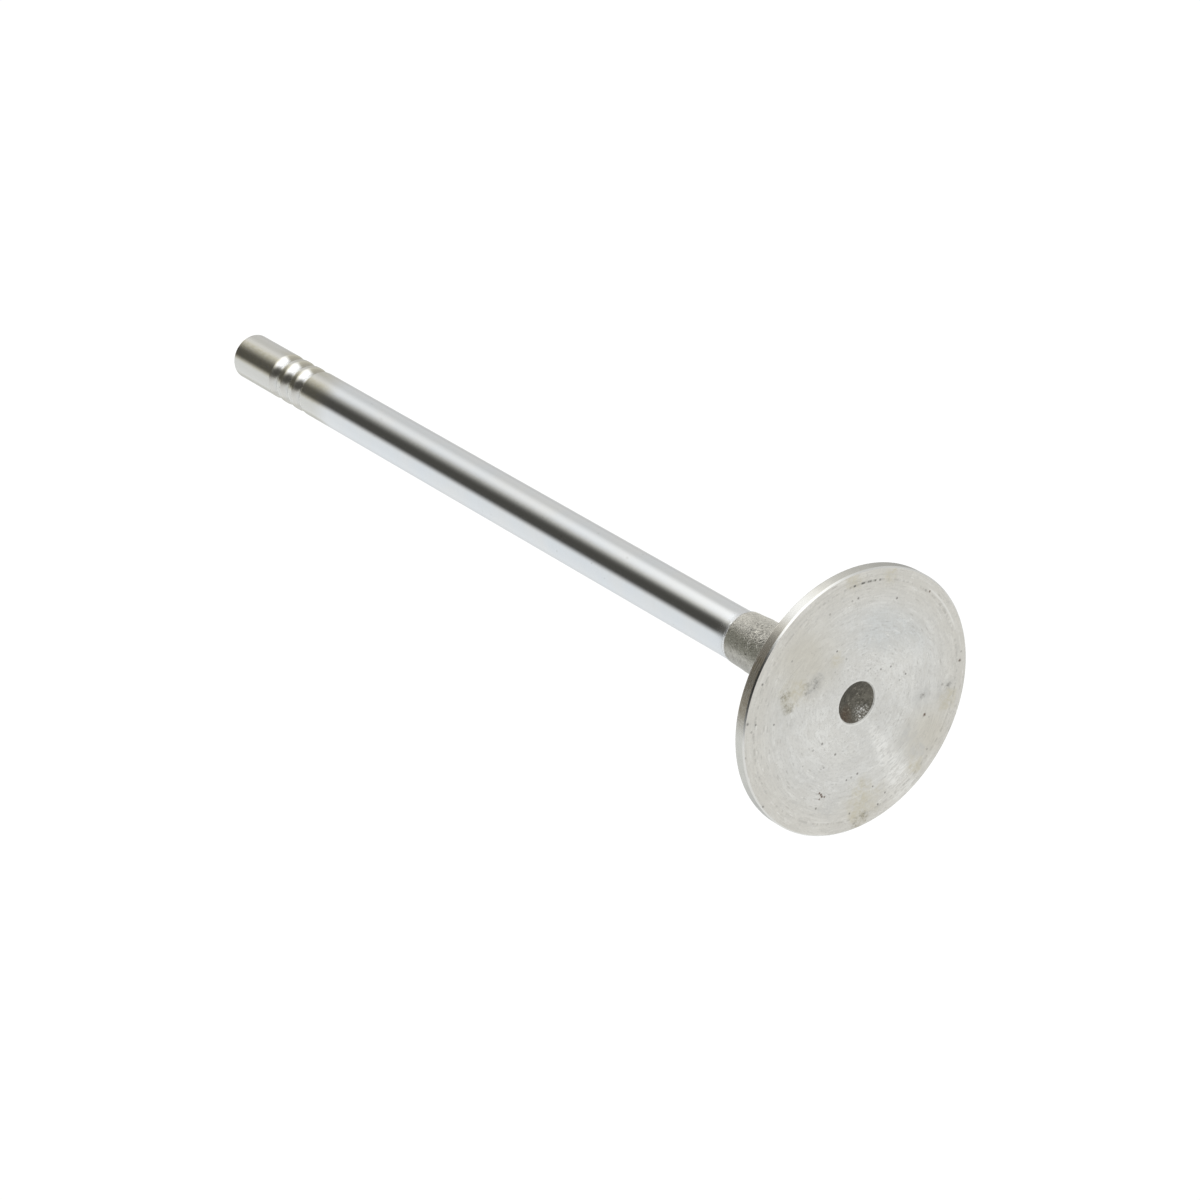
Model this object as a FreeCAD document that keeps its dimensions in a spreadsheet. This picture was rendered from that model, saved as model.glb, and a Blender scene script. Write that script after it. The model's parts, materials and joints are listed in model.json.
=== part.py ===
import FreeCAD, Part

import math
import os

import Sketcher

# Poppet valve of a large engine: a flat round head, a tulip underhead left as forged, and a ground
# stem with three round keeper grooves below its tip. It is forged and turned as one piece.
# Frame: Z runs along the stem, the combustion face lies on Z = 0 and the tip is at the top.

# Driving dimensions: name, value in millimetres or degrees, and what it measures.
SIZES = [
    ("overall_length", 185.0, "combustion face to tip end"),
    ("stem_diameter", 9.0, "ground stem, which runs in the guide"),
    ("head_diameter", 47.4, "outside of the margin"),
    ("margin_height", 2.0, "combustion face to the back of the cylindrical margin"),
    ("seat_angle", 45.0, "seat cone against the plane of the face"),
    ("seat_width", 2.5, "seat cone measured along the radius"),
    ("underhead_angle", 25.0, "forged cone behind the seat against the plane of the face"),
    ("underhead_radius", 16.0, "sweep from the forged cone into the neck"),
    ("neck_diameter", 9.4, "forged neck where it meets the ground stem"),
    ("neck_taper", 3.0, "draft of the forged neck, wider towards the head"),
    ("neck_height", 29.7, "combustion face to the top of the forged neck"),
    ("shoulder_height", 0.8, "run-out from the forged neck to the ground stem"),
    ("first_groove", 14.6, "tip end to the middle of the first keeper groove"),
    ("groove_count", 3, "keeper grooves"),
    ("groove_pitch", 4.0, "middle to middle of two keeper grooves"),
    ("groove_radius", 1.9, "round bottom of a keeper groove"),
    ("groove_depth", 0.65, "stem surface to the bottom of a keeper groove"),
    ("land_radius", 0.4, "rounded edge between a keeper groove and the stem"),
    ("recess_diameter", 7.8, "mouth of the bowl in the middle of the face"),
    ("recess_depth", 1.4, "face to the bottom of the bowl"),
    ("recess_break", 0.25, "broken edge round the bowl"),
    ("face_break", 0.25, "broken edge between face and margin"),
    ("tip_break", 0.5, "broken edge round the tip end"),
]


def make_sheet(document):
    """A spreadsheet with one row for each driving dimension: words, value, alias."""
    sheet = document.addObject("Spreadsheet::Sheet", "sizes")
    for row, (name, value, meaning) in enumerate(SIZES, start=1):
        sheet.set("A%d" % row, meaning)
        sheet.set("B%d" % row, str(value))
        sheet.setAlias("B%d" % row, name)
    document.recompute()
    return sheet


def origin_feature(body, role):
    """The plane or axis of the body's own origin that has this role."""
    return next(feature for feature in body.Origin.OriginFeatures if feature.Role == role)


def new_sketch(body, name):
    """A sketch on the body's XZ plane, where x is the radius and y the height."""
    sketch = body.newObject("Sketcher::SketchObject", name)
    sketch.AttachmentSupport = [(origin_feature(body, "XZ_Plane"), "")]
    sketch.MapMode = "FlatFace"
    return sketch


def add_line(sketch, start, end):
    """A straight edge from start to end, each given as radius and height."""
    edge = Part.LineSegment(FreeCAD.Vector(*start, 0), FreeCAD.Vector(*end, 0))
    return sketch.addGeometry(edge, False)


def add_arc(sketch, centre, radius, start_angle, end_angle):
    """A round edge that runs anticlockwise between two angles in degrees."""
    circle = Part.Circle(FreeCAD.Vector(*centre, 0), FreeCAD.Vector(0, 0, 1), radius)
    arc = Part.ArcOfCircle(circle, math.radians(start_angle), math.radians(end_angle))
    return sketch.addGeometry(arc, False)


def constrain(sketch, *terms):
    """A geometric constraint, such as Vertical or Coincident."""
    sketch.addConstraint(Sketcher.Constraint(*terms))


def join(sketch, *edges):
    """Edges that follow each other end to start."""
    for before, after in zip(edges, edges[1:]):
        constrain(sketch, "Coincident", before, 2, after, 1)


def dimension(sketch, name, expression, *terms):
    """A named dimension of the sketch, bound to the spreadsheet."""
    index = sketch.addConstraint(Sketcher.Constraint(*terms))
    sketch.renameConstraint(index, name)
    sketch.setExpression("Constraints." + name, expression)


def draw_outline(body, sheet):
    """Half section of the whole valve, from the face up to the tip."""
    top = sheet.overall_length
    head = sheet.head_diameter / 2
    face_rim = head - sheet.face_break
    seat_top = sheet.margin_height + sheet.seat_width * math.tan(math.radians(sheet.seat_angle))
    seat_inside = head - sheet.seat_width
    neck = sheet.neck_diameter / 2
    stem = sheet.stem_diameter / 2
    stem_start = sheet.neck_height + sheet.shoulder_height
    stem_end = top - sheet.tip_break
    tip_rim = stem - sheet.tip_break
    slope = math.radians(sheet.underhead_angle)
    corner = seat_top + (seat_inside - neck) * math.tan(slope)
    run = sheet.underhead_radius * math.tan(math.radians(45) - slope / 2)
    cone_end = (neck + run * math.cos(slope), corner - run * math.sin(slope))
    sweep_centre = (neck + sheet.underhead_radius, corner + run)

    sketch = new_sketch(body, "valve_outline")
    face = add_line(sketch, (0, 0), (face_rim, 0))
    face_edge = add_line(sketch, (face_rim, 0), (head, sheet.face_break))
    margin = add_line(sketch, (head, sheet.face_break), (head, sheet.margin_height))
    seat = add_line(sketch, (head, sheet.margin_height), (seat_inside, seat_top))
    cone = add_line(sketch, (seat_inside, seat_top), cone_end)
    sweep = add_arc(sketch, sweep_centre, sheet.underhead_radius, 180, 270 - sheet.underhead_angle)
    neck_side = add_line(sketch, (neck, corner + run), (neck, sheet.neck_height))
    shoulder = add_line(sketch, (neck, sheet.neck_height), (stem, stem_start))
    stem_side = add_line(sketch, (stem, stem_start), (stem, stem_end))
    tip_edge = add_line(sketch, (stem, stem_end), (tip_rim, top))
    tip = add_line(sketch, (tip_rim, top), (0, top))
    axis = add_line(sketch, (0, top), (0, 0))

    constrain(sketch, "Coincident", face, 1, -1, 1)
    join(sketch, face, face_edge, margin, seat, cone)
    constrain(sketch, "Tangent", cone, 2, sweep, 2)
    constrain(sketch, "Tangent", sweep, 1, neck_side, 1)
    join(sketch, neck_side, shoulder, stem_side, tip_edge, tip, axis, face)
    for level in (face, tip):
        constrain(sketch, "Horizontal", level)
    for upright in (margin, stem_side, axis):
        constrain(sketch, "Vertical", upright)

    dimension(sketch, "head", "sizes.head_diameter / 2", "DistanceX", -1, 1, margin, 1, head)
    dimension(sketch, "face_break_width", "sizes.face_break",
              "DistanceX", face_edge, 1, face_edge, 2, sheet.face_break)
    dimension(sketch, "face_break_height", "sizes.face_break",
              "DistanceY", face_edge, 1, face_edge, 2, sheet.face_break)
    dimension(sketch, "margin", "sizes.margin_height",
              "DistanceY", -1, 1, margin, 2, sheet.margin_height)
    dimension(sketch, "seat_width", "sizes.seat_width",
              "DistanceX", seat, 2, seat, 1, sheet.seat_width)
    dimension(sketch, "seat_angle", "180 - sizes.seat_angle",
              "Angle", seat, math.radians(180 - sheet.seat_angle))
    dimension(sketch, "underhead_angle", "180 - sizes.underhead_angle",
              "Angle", cone, math.radians(180 - sheet.underhead_angle))
    dimension(sketch, "underhead_radius", "sizes.underhead_radius",
              "Radius", sweep, sheet.underhead_radius)
    dimension(sketch, "neck_taper", "90 + sizes.neck_taper",
              "Angle", neck_side, math.radians(90 + sheet.neck_taper))
    dimension(sketch, "neck", "sizes.neck_diameter / 2", "DistanceX", -1, 1, neck_side, 2, neck)
    dimension(sketch, "neck_height", "sizes.neck_height",
              "DistanceY", -1, 1, neck_side, 2, sheet.neck_height)
    dimension(sketch, "shoulder", "sizes.shoulder_height",
              "DistanceY", shoulder, 1, shoulder, 2, sheet.shoulder_height)
    dimension(sketch, "stem", "sizes.stem_diameter / 2", "DistanceX", -1, 1, stem_side, 1, stem)
    dimension(sketch, "tip_break_width", "sizes.tip_break",
              "DistanceX", tip_edge, 2, tip_edge, 1, sheet.tip_break)
    dimension(sketch, "tip_break_height", "sizes.tip_break",
              "DistanceY", tip_edge, 1, tip_edge, 2, sheet.tip_break)
    dimension(sketch, "length", "sizes.overall_length", "DistanceY", axis, 2, axis, 1, top)
    return sketch


def draw_groove(body, sheet):
    """Section of the first keeper groove: a round bottom between two rounded lands.

    The sketch's own x axis lies at the middle of the groove. Each land's centre is one land radius
    under the stem's surface, and as far up or down as two circles that touch from outside need.
    """
    stem = sheet.stem_diameter / 2
    bottom = sheet.groove_radius
    land = sheet.land_radius
    centre = stem + bottom - sheet.groove_depth
    rise = centre - (stem - land)
    half_width = math.sqrt((bottom + land) ** 2 - rise ** 2)
    angle = math.degrees(math.atan2(half_width, rise))

    sketch = new_sketch(body, "groove_outline")
    sketch.setExpression("AttachmentOffset.Base.y", "sizes.overall_length - sizes.first_groove")
    groove = add_arc(sketch, (centre, 0), bottom, 180 - angle, 180 + angle)
    lower_land = add_arc(sketch, (stem - land, -half_width), land, 0, angle)
    upper_land = add_arc(sketch, (stem - land, half_width), land, -angle, 0)
    lower_side = add_line(sketch, (stem, -half_width), (centre, -half_width))
    outside = add_line(sketch, (centre, -half_width), (centre, half_width))
    upper_side = add_line(sketch, (centre, half_width), (stem, half_width))

    constrain(sketch, "PointOnObject", groove, 3, -1)
    constrain(sketch, "Tangent", lower_land, 2, groove, 2)
    constrain(sketch, "Tangent", groove, 1, upper_land, 1)
    constrain(sketch, "Coincident", lower_land, 1, lower_side, 1)
    join(sketch, lower_side, outside, upper_side)
    constrain(sketch, "Coincident", upper_side, 2, upper_land, 2)
    constrain(sketch, "Horizontal", lower_side)
    constrain(sketch, "Vertical", outside)
    constrain(sketch, "Horizontal", upper_side)
    constrain(sketch, "Horizontal", lower_land, 3, lower_land, 1)
    constrain(sketch, "Horizontal", upper_land, 3, upper_land, 2)
    constrain(sketch, "Vertical", lower_land, 1, upper_land, 2)
    constrain(sketch, "Vertical", groove, 3, outside, 1)
    constrain(sketch, "Equal", lower_land, upper_land)

    dimension(sketch, "bottom", "sizes.groove_radius", "Radius", groove, bottom)
    dimension(sketch, "land", "sizes.land_radius", "Radius", lower_land, land)
    dimension(sketch, "stem", "sizes.stem_diameter / 2", "DistanceX", -1, 1, lower_land, 1, stem)
    dimension(sketch, "reach", "sizes.stem_diameter / 2 + sizes.groove_radius - sizes.groove_depth",
              "DistanceX", -1, 1, groove, 3, centre)
    return sketch


def draw_recess(body, sheet):
    """Section of the shallow round bowl in the face with its broken edge, closed along the axis."""
    mouth = sheet.recess_diameter / 2
    edge = sheet.recess_break
    bowl_reach = mouth - edge
    bowl_depth = sheet.recess_depth - edge
    radius = (bowl_reach ** 2 + bowl_depth ** 2) / (2 * bowl_depth)
    rim_angle = math.degrees(math.asin((radius - bowl_depth) / radius))

    sketch = new_sketch(body, "recess_outline")
    face = add_line(sketch, (0, 0), (mouth, 0))
    broken_edge = add_line(sketch, (mouth, 0), (bowl_reach, edge))
    bowl = add_arc(sketch, (0, sheet.recess_depth - radius), radius, rim_angle, 90)
    axis = add_line(sketch, (0, sheet.recess_depth), (0, 0))

    constrain(sketch, "Coincident", face, 1, -1, 1)
    join(sketch, face, broken_edge, bowl, axis, face)
    constrain(sketch, "Horizontal", face)
    constrain(sketch, "Vertical", axis)
    constrain(sketch, "PointOnObject", bowl, 3, -2)

    dimension(sketch, "mouth", "sizes.recess_diameter / 2", "DistanceX", face, 1, face, 2, mouth)
    dimension(sketch, "break_width", "sizes.recess_break",
              "DistanceX", broken_edge, 2, broken_edge, 1, edge)
    dimension(sketch, "break_height", "sizes.recess_break",
              "DistanceY", broken_edge, 1, broken_edge, 2, edge)
    dimension(sketch, "depth", "sizes.recess_depth",
              "DistanceY", axis, 2, axis, 1, sheet.recess_depth)
    return sketch


def turn(body, kind, name, sketch):
    """A full turn of the sketch about its own upright axis, added or taken away."""
    feature = body.newObject(kind, name)
    feature.Profile = sketch
    feature.ReferenceAxis = (sketch, ["V_Axis"])
    feature.Angle = 360
    body.Document.recompute()
    return feature


def repeat_down_the_stem(body, feature):
    """The first keeper groove repeated from the tip towards the head."""
    pattern = body.newObject("PartDesign::LinearPattern", "keeper_grooves")
    pattern.Originals = [feature]
    pattern.Direction = (origin_feature(body, "Z_Axis"), [""])
    pattern.Reversed = True
    pattern.Mode = "Spacing"
    pattern.setExpression("Offset", "sizes.groove_pitch")
    pattern.setExpression("Occurrences", "sizes.groove_count")
    body.Tip = pattern
    body.Document.recompute()
    return pattern


def expect_less(feature, before):
    """A cut that points away from the metal takes nothing off and shows no error by itself."""
    if not feature.Shape.Volume < before.Shape.Volume:
        raise RuntimeError(feature.Name + " cut nothing")


def make_valve(document, sheet):
    """The valve: turned outline, then the row of keeper grooves and the bowl in the face."""
    body = document.addObject("PartDesign::Body", "valve")
    body.Label = "valve"
    blank = turn(body, "PartDesign::Revolution", "turned_blank", draw_outline(body, sheet))
    groove = turn(body, "PartDesign::Groove", "keeper_groove", draw_groove(body, sheet))
    expect_less(groove, blank)
    grooves = repeat_down_the_stem(body, groove)
    recess = turn(body, "PartDesign::Groove", "face_recess", draw_recess(body, sheet))
    expect_less(recess, grooves)
    return body


def check(document, bodies):
    """Stops before anything is written if a feature failed or a solid is not sound."""
    for item in document.Objects:
        if "Invalid" in item.State or "Error" in item.State:
            raise RuntimeError("%s failed: %s" % (item.Name, item.State))
    for body in bodies:
        if body.Shape.isNull() or not body.Shape.isValid() or len(body.Shape.Solids) != 1:
            raise RuntimeError(body.Label + " is not one sound solid")


def main():
    """Builds the document and writes one file for each sub-part."""
    document = FreeCAD.newDocument("engine_valve")
    sheet = make_sheet(document)
    bodies = [make_valve(document, sheet)]
    document.recompute()
    check(document, bodies)
    os.makedirs("parts", exist_ok=True)
    for body in bodies:
        body.Shape.exportStep("parts/%s.step" % body.Label)
        print(body.Label, round(body.Shape.Volume, 3), "mm3", body.Shape.BoundBox)


main()
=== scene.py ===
import itertools
import json
import math

import bpy
import numpy as np
from bpy.props import FloatProperty, FloatVectorProperty, IntProperty, PointerProperty
from mathutils import Matrix, Vector


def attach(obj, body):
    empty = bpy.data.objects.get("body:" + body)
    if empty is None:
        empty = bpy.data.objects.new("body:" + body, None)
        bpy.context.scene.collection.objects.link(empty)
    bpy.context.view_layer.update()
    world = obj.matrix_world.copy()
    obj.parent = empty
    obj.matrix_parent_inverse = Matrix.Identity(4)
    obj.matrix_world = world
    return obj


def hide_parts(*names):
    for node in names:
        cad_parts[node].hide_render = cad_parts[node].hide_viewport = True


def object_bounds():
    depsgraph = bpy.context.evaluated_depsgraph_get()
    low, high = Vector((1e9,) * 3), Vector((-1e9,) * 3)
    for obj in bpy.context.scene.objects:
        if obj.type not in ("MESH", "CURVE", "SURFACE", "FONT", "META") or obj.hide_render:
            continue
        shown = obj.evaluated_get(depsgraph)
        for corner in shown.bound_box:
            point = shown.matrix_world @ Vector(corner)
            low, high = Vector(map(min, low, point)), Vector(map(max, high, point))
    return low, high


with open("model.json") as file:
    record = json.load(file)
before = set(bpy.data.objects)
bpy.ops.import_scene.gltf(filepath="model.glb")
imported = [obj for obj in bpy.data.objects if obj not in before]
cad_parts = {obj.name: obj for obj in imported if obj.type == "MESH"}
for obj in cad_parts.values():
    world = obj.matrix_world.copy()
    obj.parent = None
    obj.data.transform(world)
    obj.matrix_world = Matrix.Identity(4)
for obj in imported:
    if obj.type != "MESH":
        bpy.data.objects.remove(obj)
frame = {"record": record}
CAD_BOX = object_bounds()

# Finish of a forged, turned, ground and plated engine valve. It stands on its combustion face,
# so Z = 0 is the face and +Z runs up the stem to the tip.

bl_info = {
    "name": "Engine Valve",
    "version": (1, 0, 0),
    "blender": (4, 5, 0),
    "location": "3D View > Sidebar > Valve",
    "description": "Builds an engine valve with its forged, turned and plated surfaces, and a studio stage",
    "category": "Object",
}

MM = 0.001
MOUNTS = {mount["name"]: mount for mount in frame["record"]["mounts"]}
GUIDE = MOUNTS["guide_stem"]
GUIDE_LENGTH = GUIDE["dims"]["length_mm"] * MM
STEM_START = GUIDE["pos_m"][2] - GUIDE_LENGTH / 2
ZONES = ("bowl", "turned_face", "face_edge", "margin", "seat", "forged", "plated", "tip")
LATTICE = 48
CRISP = 0.04 * MM
RUBBED = 0.1 * MM
PAPER_WHITE = (1.05, 1.05, 1.05)


def length(name, description, value):
    """Property for a length in metres."""
    return FloatProperty(name=name, description=description, default=value, unit="LENGTH")


def angle(name, description, value):
    """Property for an angle in radians."""
    return FloatProperty(name=name, description=description, default=value, subtype="ANGLE")


def paint(name, description, value):
    """Property for a colour."""
    return FloatVectorProperty(name=name, description=description, default=value,
                               subtype="COLOR", min=0, max=1)


class ValveSizes(bpy.types.PropertyGroup):
    """Sizes of the valve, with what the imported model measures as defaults."""

    overall_length: length("Overall length", "From the combustion face to the tip", CAD_BOX[1].z)
    head_diameter: length("Head diameter", "Across the margin", CAD_BOX[1].x - CAD_BOX[0].x)
    stem_diameter: length("Stem diameter", "Across the ground stem", 2 * GUIDE["dims"]["r_mm"] * MM)
    stem_start: length("Stem start", "Height at which the ground stem begins", STEM_START)
    shoulder_height: length("Shoulder height", "Run-out from the forged neck on to the stem", 0.8 * MM)
    neck_diameter: length("Neck diameter", "Across the upper end of the forged neck", 9.4 * MM)
    neck_taper: angle(
        "Neck taper", "Draft of the neck's side", math.radians(3))
    underhead_radius: length("Underhead radius", "Sweep from the forged cone into the neck", 16 * MM)
    underhead_angle: angle(
        "Underhead angle", "Slope of the forged cone", math.radians(25))
    seat_width: length("Seat width", "Width of the seat cone, square to the stem", 2.5 * MM)
    seat_angle: angle(
        "Seat angle", "Slope of the seat cone", math.radians(45))
    margin_height: length("Margin height", "From the face to the edge of the seat", 2 * MM)
    face_break: length("Face break", "Broken edge round the face", 0.25 * MM)
    recess_diameter: length("Bowl diameter", "Mouth of the bowl in the face", 7.8 * MM)
    recess_depth: length("Bowl depth", "Depth of the bowl in the face", 1.4 * MM)
    first_groove: length("First groove", "From the tip to the middle of the first keeper groove", 14.6 * MM)
    groove_count: IntProperty(
        name="Groove count", description="Number of keeper grooves", default=3, min=1, max=5)
    groove_pitch: length("Groove pitch", "From one groove to the next", 4 * MM)
    groove_radius: length("Groove radius", "Round bottom of a keeper groove", 1.9 * MM)
    groove_depth: length("Groove depth", "Depth of a keeper groove", 0.65 * MM)
    land_radius: length("Land radius", "Rounded edge between a groove and the stem", 0.4 * MM)
    tip_break: length("Tip break", "Broken edge round the tip", 0.5 * MM)


class ValveFinish(bpy.types.PropertyGroup):
    """Colours and roughness of the valve's surfaces."""

    segments: IntProperty(
        name="Segments", description="Steps of the mesh round the valve",
        default=288, min=48, max=300)
    seed: IntProperty(
        name="Seed", description="Start of the random forged skin", default=7)
    lump_height: length("Lump height", "Height of the broad lumps in the forged skin", 0.04 * MM)
    wrinkle_height: length("Wrinkle height", "Height of the wrinkles in the forged skin", 0.085 * MM)
    pit_depth: length("Pit depth", "Depth of the pits in the forged skin", 0.07 * MM)
    neck_shift: length("Neck shift", "How far the forged neck stands off the stem's axis", 0.12 * MM)
    plating_colour: paint("Plating", "Bright plating of the stem", (0.715, 0.72, 0.716))
    tip_colour: paint("Tip", "Duller, warmer end of the stem, from above the guide to the tip",
        (0.615, 0.605, 0.565))
    # This colour is also laid on the upper side of the stem's grooves as a painted dark reflection.
    film_colour: paint("Film", "Thin brown film at the tip", (0.5, 0.475, 0.375))
    # This colour also paints the dark reflected band on the margin.
    grime_colour: paint("Grime", "Brown grime on the margin", (0.27, 0.24, 0.185))
    forged_colour: paint("Forged skin", "Grey-brown skin of the neck", (0.5, 0.485, 0.435))
    margin_colour: paint("Margin", "Turned rim of the head", (0.62, 0.61, 0.565))
    face_colour: paint("Face", "Turned combustion face", (0.648, 0.648, 0.628))
    # This colour, darker, is also the painted shade in the stem's keeper grooves.
    stain_colour: paint("Stain", "Brown stains on the face", (0.34, 0.315, 0.235))
    bowl_colour: paint("Bowl", "Dark skin in the bowl of the face", (0.135, 0.128, 0.108))
    rust_colour: paint("Rust", "Small rusty pits", (0.12, 0.08, 0.058))


class StageSettings(bpy.types.PropertyGroup):
    """Camera, floor and light of the studio."""

    camera_place: FloatVectorProperty(
        name="Camera place", description="Where the camera stands, below and in front of the face",
        default=(482.34 * MM, 0, -439.98 * MM), subtype="TRANSLATION", unit="LENGTH")
    camera_aim: FloatVectorProperty(
        name="Camera aim", description="Point at the middle of the picture",
        default=(0, -6.7715 * MM, 64.7129 * MM), subtype="TRANSLATION", unit="LENGTH")
    camera_roll: angle(
        "Camera roll", "Turn of the camera about its line of sight", math.radians(-59.5704))
    lens: FloatProperty(
        name="Lens", description="Focal length in millimetres on a 36 mm sensor", default=119.823)
    flag_azimuth: angle(
        "Flag azimuth", "Middle of the dark flag, at the height of the horizon", math.radians(-9))
    flag_light: FloatProperty(
        name="Flag light", description="What the dark flag still reflects",
        default=0.04, min=0, max=1)
    box_light: FloatProperty(
        name="Soft box light", description="Light of the soft box, where the white room has 1",
        default=1.65, min=0, max=2)
    lamp_power: FloatProperty(
        name="Lamp power", description="Watts of the lamp that makes the soft shadow",
        default=3.0, min=0)
    floor_fade: length("Floor fade", "Distance at which the floor has gone over into white", 0.6)


def straight(start, end, steps, support=CRISP):
    """Points (1 - t) * start + t * end of a straight line, t even from 0 to 1. One more point stands
    a support's width from each end, which keeps the rounding of a corner that narrow."""
    start, end = np.array(start, float), np.array(end, float)
    share = support / np.linalg.norm(end - start)
    t = np.unique(np.concatenate([np.linspace(0, 1, steps + 1), [share, 1 - share]]))
    return start + t[:, None] * (end - start)


def arc(centre, radius, first, last, steps):
    """Points centre + radius * (cos a, sin a) of an arc, the angle a even from first to last."""
    turns = np.linspace(first, last, steps + 1)
    return np.array(centre) + radius * np.stack([np.cos(turns), np.sin(turns)], axis=1)


def bowl_stretches(size):
    """The bowl from its middle out to the face: a round bottom whose circle has the radius
    (reach * reach + depth * depth) / (2 * depth), and a broken edge at 45 degrees."""
    mouth = size.recess_diameter / 2
    reach = mouth - size.face_break
    depth = size.recess_depth - size.face_break
    radius = (reach ** 2 + depth ** 2) / (2 * depth)
    rim_angle = math.asin((radius - depth) / radius)
    bottom = arc((0, size.recess_depth - radius), radius, math.pi / 2, rim_angle, 24)
    edge = straight((reach, size.face_break), (mouth, 0), 3)
    return [("bowl", bottom), ("turned_face", edge)]


def head_stretches(size):
    """Face, broken edge, margin, seat, forged cone, sweep and neck, up to the start of the stem.
    The sweep touches the cone and the neck's side, whose two lines cross in the corner: its ends
    lie radius * tan(turn / 2) from there."""
    head = size.head_diameter / 2
    face_rim = head - size.face_break
    seat_inside = head - size.seat_width
    seat_top = size.margin_height + size.seat_width * math.tan(size.seat_angle)
    neck_top = size.stem_start - size.shoulder_height
    step_end = neck_top + 0.3 * size.shoulder_height
    neck = size.neck_diameter / 2
    slope, taper = size.underhead_angle, size.neck_taper

    rise = neck_top - seat_top - seat_inside * math.tan(slope)
    corner_radius = (neck + rise * math.tan(taper)) / (1 - math.tan(slope) * math.tan(taper))
    corner = np.array([corner_radius, seat_top + (seat_inside - corner_radius) * math.tan(slope)])
    turn = math.pi / 2 - slope - taper
    reach = size.underhead_radius * math.tan(turn / 2)
    cone_end = corner + reach * np.array([math.cos(slope), -math.sin(slope)])
    sweep_centre = cone_end + size.underhead_radius * np.array([math.sin(slope), math.cos(slope)])
    neck_start = corner + reach * np.array([-math.sin(taper), math.cos(taper)])

    return [
        ("turned_face", straight((size.recess_diameter / 2, 0), (face_rim, 0), 20, RUBBED)),
        ("face_edge", straight((face_rim, 0), (head, size.face_break), 2)),
        ("margin", straight((head, size.face_break), (head, size.margin_height), 6, RUBBED)),
        ("seat", straight((head, size.margin_height), (seat_inside, seat_top), 6)),
        ("forged", straight((seat_inside, seat_top), cone_end, 22)),
        ("forged", arc(sweep_centre, size.underhead_radius, 1.5 * math.pi - slope,
                       math.pi + taper, 54)),
        ("forged", straight(neck_start, (neck, neck_top), 40)),
        ("plated", straight((neck, neck_top), (size.stem_diameter / 2, step_end), 2)),
        ("plated", straight((size.stem_diameter / 2, step_end),
                            (size.stem_diameter / 2, size.stem_start), 2)),
    ]


def groove_stretches(size, middle):
    """One keeper groove about the height middle: a round bottom between two rounded lands. The
    circles' middles are groove_radius + land_radius apart, and that line leans by the angle open."""
    stem = size.stem_diameter / 2
    centre = stem - size.groove_depth + size.groove_radius
    apart = size.groove_radius + size.land_radius
    land = stem - size.land_radius
    opening = math.acos((centre - land) / apart)
    half_width = apart * math.sin(opening)
    return [
        arc((land, middle - half_width), size.land_radius, 0, opening, 5),
        arc((centre, middle), size.groove_radius, math.pi + opening, math.pi - opening, 16),
        arc((land, middle + half_width), size.land_radius, -opening, 0, 5),
    ]


def stem_stretches(size):
    """Ground stem with its keeper grooves, broken edge and tip."""
    stem = size.stem_diameter / 2
    top = size.overall_length
    stretches = []
    height = size.stem_start
    for number in reversed(range(size.groove_count)):
        middle = top - size.first_groove - number * size.groove_pitch
        groove = groove_stretches(size, middle)
        steps = 12 if height == size.stem_start else 2
        stretches.append(("plated", straight((stem, height), groove[0][0], steps)))
        stretches += [("plated", part) for part in groove]
        height = groove[-1][-1][1]
    edge_start = top - size.tip_break
    stretches.append(("plated", straight((stem, height), (stem, edge_start), 5)))
    stretches.append(("plated", straight((stem, edge_start), (stem - size.tip_break, top), 2)))
    stretches.append(("tip", straight((stem - size.tip_break, top), (0, top), 8)))
    return stretches


def half_section(size):
    """Rings (radius, height) from the middle of the bowl up to the tip, and the zone between each
    ring and the next."""
    stretches = bowl_stretches(size) + head_stretches(size) + stem_stretches(size)
    rings = [stretch[:-1] for zone, stretch in stretches] + [stretches[-1][1][-1:]]
    zones = [np.full(len(stretch) - 1, ZONES.index(zone)) for zone, stretch in stretches]
    return np.concatenate(rings), np.concatenate(zones)


def lattice_noise(points, cell, seed):
    """Smooth noise from -1 to 1: random heights at the corners of boxes of the size cell, blended
    inside each box with the weight 3t² - 2t³ along each side. The lattice wraps round."""
    heights = np.random.default_rng(seed).uniform(-1, 1, (LATTICE,) * 3)
    place = points / np.array(cell)
    corner = np.floor(place).astype(int)
    t = place - corner
    t = t * t * (3 - 2 * t)
    total = np.zeros(points.shape[:-1])
    for step in itertools.product((0, 1), repeat=3):
        weight = np.prod(np.where(step, t, 1 - t), axis=-1)
        index = (corner + np.array(step)) % LATTICE
        total += weight * heights[index[..., 0], index[..., 1], index[..., 2]]
    return total


def fade(value, low, high):
    """Weight 3t² - 2t³ that goes from 0 at low to 1 at high."""
    t = np.clip((value - low) / (high - low), 0, 1)
    return t * t * (3 - 2 * t)


def forged_height(points, finish):
    """Height of the forged skin: broad lumps, plus ridges where a noise that is stretched round
    the neck passes zero, less pits where a finer noise is high."""
    slanted = points.copy()
    slanted[..., 2] += 0.35 * points[..., 1]
    lumps = lattice_noise(points, (3.1 * MM, 3.1 * MM, 2.6 * MM), finish.seed)
    folds = lattice_noise(slanted, (1.3 * MM, 1.3 * MM, 0.55 * MM), finish.seed + 1)
    broken = lattice_noise(points, (2.3 * MM, 2.3 * MM, 2.3 * MM), finish.seed + 2)
    pits = lattice_noise(points, (0.75 * MM, 0.75 * MM, 0.7 * MM), finish.seed + 3)
    ridges = (1 - np.clip(3 * np.abs(folds), 0, 1)) * fade(broken, -0.45, 0.35)
    holes = fade(pits, 0.35, 0.8)
    return (finish.lump_height * lumps + finish.wrinkle_height * ridges
            - finish.pit_depth * holes)


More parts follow.
